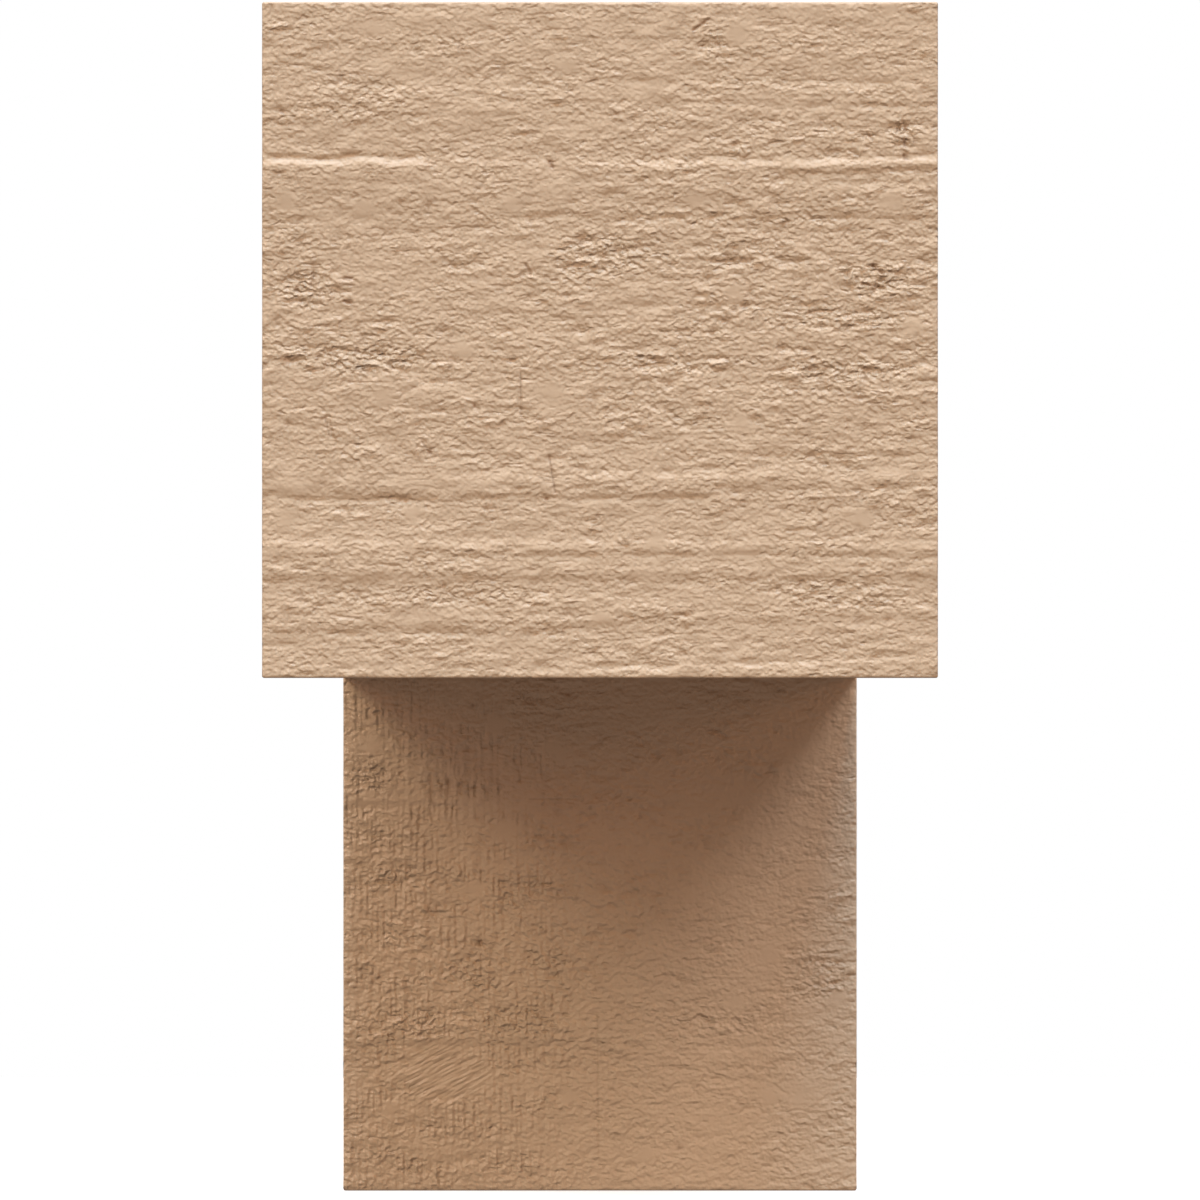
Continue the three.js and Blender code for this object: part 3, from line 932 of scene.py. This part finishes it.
def build_casting():
    """The relief mesh, with its vertices moved in from the planes of the solid."""
    points, polygons = casting_shell().weld()
    mesh = bpy.data.meshes.new("corbel_casting")
    mesh.from_pydata(points.tolist(), [], polygons)
    net = bmesh.new()
    net.from_mesh(mesh)
    split_near_cuts(net)
    net.to_mesh(mesh)
    net.free()

    points = np.zeros(3 * len(mesh.vertices))
    mesh.vertices.foreach_get("co", points)
    points = points.reshape(-1, 3)
    facing = axis_facing(mesh)
    on_edge = np.abs(facing).sum(axis=1) > 1
    carved, grain = carve(points, facing)
    carved[on_edge] -= ARRIS_PULL * facing[on_edge]
    mesh.vertices.foreach_set("co", carved.ravel())
    mesh.update()
    mesh.shade_smooth()
    for name, values in grain.items():
        stored = mesh.attributes.new(name, "FLOAT", "POINT")
        stored.data.foreach_set("value", values.astype(np.float32))
    casting = bpy.data.objects.new("corbel_casting", mesh)
    bpy.context.scene.collection.objects.link(casting)
    return casting


# The primer's colour, and the darker one painted into its hollows and dips as shade
PRIMER = (0.608, 0.452, 0.318, 1)
PRIMER_PAINTED_SHADE = (0.220, 0.105, 0.050, 1)

# The fine grain: its cells, across, out and up, its height and its lean, in millimetres. The
# finest grain has no lean.
FINE_GRAIN = (1.45, 1.45, 1.1)
FINE_HEIGHT = 0.175
FINE_LEAN = 0.16
HAIR_GRAIN = (0.8, 0.8, 0.72)
HAIR_HEIGHT = 0.08

# Small dips: their cells, the noise between which they deepen, their depth, and how far their
# noise is shifted from the others'
DIPS = (2.1, 2.1, 1.25)
DIP_NOISE = (0.30, 1.0)
DIP_DEPTH = 0.17
DIP_SHIFT = 30

# Saw marks: the cells and height of the upright streaks, of the sides' long level grain and
# of the slanting marks, and the angle at which these rise to the right
STREAKS = (1.0, 1.0, 10)
STREAK_HEIGHT = 0.24
SAWN = (16, 16, 1.5)
SAWN_HEIGHT = 0.22
SLANTS = (4, 4, 0.65)
SLANT_HEIGHT = 0.22
SLANT_ANGLE = math.radians(28)

# The share of the painted shade colour in a full hollow, and the finish of the primer
HOLLOW_PAINTED_SHADE = 0.7
PRIMER_ROUGHNESS = 0.5
PRIMER_SPECULAR = 0.5

# The gain that brings Blender's noise to about 1
NODE_NOISE_GAIN = 2.8

# The colour sockets of the Mix node, whose names are shared with its other sockets
MIX_LOW = 6
MIX_HIGH = 7
MIX_RESULT = 2


class Nodes:
    """Short calls for making and linking shader nodes."""

    def __init__(self, material):
        self.tree = material.node_tree

    def add(self, kind, settings=None, **inputs):
        node = self.tree.nodes.new(kind)
        for name, value in (settings or {}).items():
            setattr(node, name, value)
        for name, value in inputs.items():
            self.put(node.inputs[name.replace("_", " ")], value)
        return node

    def put(self, socket, value):
        if isinstance(value, bpy.types.NodeSocket):
            self.tree.links.new(value, socket)
        else:
            socket.default_value = value

    def math(self, operation, a, b=0.0):
        node = self.tree.nodes.new("ShaderNodeMath")
        node.operation = operation
        self.put(node.inputs[0], a)
        self.put(node.inputs[1], b)
        return node.outputs[0]

    def attribute(self, name):
        return self.add("ShaderNodeAttribute", {"attribute_name": name}).outputs["Fac"]

    def signed_noise(self, place, cell, shift=0, angle=0):
        """Smooth noise, about -1 to 1, with cells of the given size in millimetres.

        The cells rise to the right, as seen from the front, by the angle.
        """
        mapping = self.add("ShaderNodeMapping", {"vector_type": "TEXTURE"}, Vector=place)
        self.put(mapping.inputs["Location"], [shift * MM] * 3)
        self.put(mapping.inputs["Rotation"], [0, -angle, 0])
        self.put(mapping.inputs["Scale"], [side * MM for side in cell])
        cells = mapping.outputs["Vector"]
        texture = self.add("ShaderNodeTexNoise", Vector=cells, Scale=1.0, Detail=0.0)
        centred = self.math("SUBTRACT", texture.outputs["Fac"], 0.5)
        return self.math("MULTIPLY", centred, NODE_NOISE_GAIN)

    def blend(self, low, high, value):
        """A smooth rise from 0 at low to 1 at high."""
        node = self.add("ShaderNodeMapRange", {"interpolation_type": "SMOOTHSTEP"}, Value=value)
        self.put(node.inputs["From Min"], low)
        self.put(node.inputs["From Max"], high)
        return node.outputs["Result"]


def mark_height(n, place, cell, height, attribute, angle=0):
    """Height of one kind of saw mark, as strong as the mesh's attribute says."""
    mark = n.signed_noise(place, cell, 0, angle)
    return n.math("MULTIPLY", n.math("MULTIPLY", mark, height), n.attribute(attribute))


def leaning_place(n, place):
    """The place, moved up and down with the fine grain, so that its lumps overhang."""
    rise = n.math("MULTIPLY", n.signed_noise(place, FINE_GRAIN), FINE_LEAN * MM)
    up = n.add("ShaderNodeCombineXYZ", Z=rise)
    leaning = n.add("ShaderNodeVectorMath", {"operation": "ADD"})
    n.put(leaning.inputs[0], place)
    n.put(leaning.inputs[1], up.outputs[0])
    return leaning.outputs[0]


def matte_urethane():
    """Matte tan primer over cast urethane, with the finest lumps of the grain and shade painted into
    its hollows and dips.
    """
    material = bpy.data.materials.new("primed_urethane")
    material.use_nodes = True
    n = Nodes(material)
    shader = material.node_tree.nodes["Principled BSDF"]
    place = n.add("ShaderNodeTexCoord").outputs["Object"]
    rough = n.attribute("rough")

    fine = n.math("MULTIPLY", n.signed_noise(leaning_place(n, place), FINE_GRAIN), FINE_HEIGHT)
    hair = n.math("MULTIPLY", n.signed_noise(place, HAIR_GRAIN), HAIR_HEIGHT)
    dip = n.blend(*DIP_NOISE, n.signed_noise(place, DIPS, DIP_SHIFT))
    grain = n.math("SUBTRACT", n.math("ADD", fine, hair), n.math("MULTIPLY", dip, DIP_DEPTH))
    streak = mark_height(n, place, STREAKS, STREAK_HEIGHT, "upright")
    sawn = mark_height(n, place, SAWN, SAWN_HEIGHT, "sawn")
    slant = mark_height(n, place, SLANTS, SLANT_HEIGHT, "slant", SLANT_ANGLE)
    marks = n.math("ADD", n.math("ADD", streak, sawn), slant)
    height = n.math("ADD", n.math("MULTIPLY", grain, rough), marks)
    bump = n.add("ShaderNodeBump", Height=height, Distance=MM)

    # Shade painted into the colour of the dips and the hollows
    shade = n.math("MULTIPLY", n.math("MULTIPLY", dip, rough), n.attribute("painted_dip_shade"))
    painted_hollow_shade = n.math("MULTIPLY", n.attribute("painted_hollow_shade"), HOLLOW_PAINTED_SHADE)
    colour = n.add("ShaderNodeMix", {"data_type": "RGBA"})
    n.put(colour.inputs["Factor"], n.math("MAXIMUM", shade, painted_hollow_shade))
    n.put(colour.inputs[MIX_LOW], PRIMER)
    n.put(colour.inputs[MIX_HIGH], PRIMER_PAINTED_SHADE)
    n.put(shader.inputs["Base Color"], colour.outputs[MIX_RESULT])
    n.put(shader.inputs["Normal"], bump.outputs["Normal"])
    shader.inputs["Roughness"].default_value = PRIMER_ROUGHNESS
    shader.inputs["Specular IOR Level"].default_value = PRIMER_SPECULAR
    return material


def make_camera():
    """A straight-on camera with a long lens, on the photograph's frame."""
    data = bpy.data.cameras.new("camera")
    data.lens = LENS_MM
    data.sensor_width = SENSOR_MM
    camera = bpy.data.objects.new("camera", data)
    frame_width = PHOTO_PIXELS / PIXELS_PER_INCH * INCH
    distance = frame_width * LENS_MM / SENSOR_MM
    camera.location = (0, PLANES["front"] - distance, (cad_low.z + cad_high.z) / 2)
    camera.rotation_euler = (math.pi / 2, 0, 0)
    data.clip_end = 2 * distance
    bpy.context.scene.collection.objects.link(camera)
    bpy.context.scene.camera = camera


def aim(azimuth, elevation):
    """The unit vector from the corbel towards a light. Azimuth 0 is in front, 90 to the right."""
    a = math.radians(azimuth)
    e = math.radians(elevation)
    return Vector((math.sin(a) * math.cos(e), -math.cos(a) * math.cos(e), math.sin(e)))


# Studio lights: azimuth and elevation in degrees, strength, and tint
LIGHTS = {
    "overhead": (12, 68, 0.545, (0.585, 1.0, 1.33)),
    "right_of_front": (34, 42, 0.236, (1.08, 1.0, 0.95)),
    "left_of_front": (-34, 30, 0.196, (1.19, 1.0, 0.74)),
    "low_front": (-12, 18, 0.088, (1.06, 1.0, 0.74)),
    "high_left": (-78, 68, 0.45, (1.12, 1.0, 0.94)),
    "high_right": (78, 66, 0.20, (1.15, 1.0, 0.90)),
    "low_right": (66, 18, 0.050, (2.15, 1.0, 0.43)),
    "low_left": (-52, 18, 0.048, (1.85, 1.0, 0.63)),
}
SUN_SPREAD = math.radians(18)
ROOM_LIGHT = (1.26, 1.0, 0.86, 1)
ROOM_STRENGTH = 0.220
WHITE = (1, 1, 1, 1)


def make_lights():
    """Soft suns, placed round the corbel as the studio's lamps."""
    for name, (azimuth, elevation, strength, tint) in LIGHTS.items():
        sun = bpy.data.lights.new(name, "SUN")
        sun.angle = SUN_SPREAD
        sun.energy = math.pi * strength
        sun.color = tint
        light = bpy.data.objects.new(name, sun)
        light.rotation_euler = aim(azimuth, elevation).to_track_quat("Z", "Y").to_euler()
        bpy.context.scene.collection.objects.link(light)


def make_world():
    """A white room for the camera. It adds only a little light of its own."""
    world = bpy.data.worlds.new("studio")
    bpy.context.scene.world = world
    world.use_nodes = True
    nodes = world.node_tree.nodes
    links = world.node_tree.links
    path = nodes.new("ShaderNodeLightPath")
    lit = nodes["Background"]
    seen = nodes.new("ShaderNodeBackground")
    mix = nodes.new("ShaderNodeMixShader")
    lit.inputs["Color"].default_value = ROOM_LIGHT
    lit.inputs["Strength"].default_value = ROOM_STRENGTH
    seen.inputs["Color"].default_value = WHITE
    seen.inputs["Strength"].default_value = 1.0
    links.new(path.outputs["Is Camera Ray"], mix.inputs["Fac"])
    links.new(lit.outputs["Background"], mix.inputs[1])
    links.new(seen.outputs["Background"], mix.inputs[2])
    links.new(mix.outputs["Shader"], nodes["World Output"].inputs["Surface"])


FLOOR_RADIUS = 3.0
FLOOR_SIDES = 128
FLOOR_GAP = 0.2 * MM
FLOOR_GREY = (0.6, 0.6, 0.6, 1)
FLOOR_ROUGHNESS = 0.9
FLOOR_GLOW = 0.7


def make_floor():
    """A plain pale floor under the foot. It throws no light back on the corbel."""
    mesh = bpy.data.meshes.new("floor")
    net = bmesh.new()
    bmesh.ops.create_circle(net, cap_ends=True, segments=FLOOR_SIDES, radius=FLOOR_RADIUS)
    net.to_mesh(mesh)
    net.free()
    floor = bpy.data.objects.new("floor", mesh)
    floor.location.z = cad_low.z - FLOOR_GAP
    floor.visible_diffuse = False
    floor.visible_glossy = False
    floor.visible_shadow = False
    bpy.context.scene.collection.objects.link(floor)
    material = bpy.data.materials.new("pale_floor")
    material.use_nodes = True
    shader = material.node_tree.nodes["Principled BSDF"]
    shader.inputs["Base Color"].default_value = FLOOR_GREY
    shader.inputs["Roughness"].default_value = FLOOR_ROUGHNESS
    shader.inputs["Emission Color"].default_value = WHITE
    shader.inputs["Emission Strength"].default_value = FLOOR_GLOW
    mesh.materials.append(material)


casting = build_casting()
casting.data.materials.append(matte_urethane())
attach(casting, "root")
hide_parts("corbel")
make_camera()
make_lights()
make_world()
make_floor()
bpy.context.scene.view_settings.view_transform = "Standard"
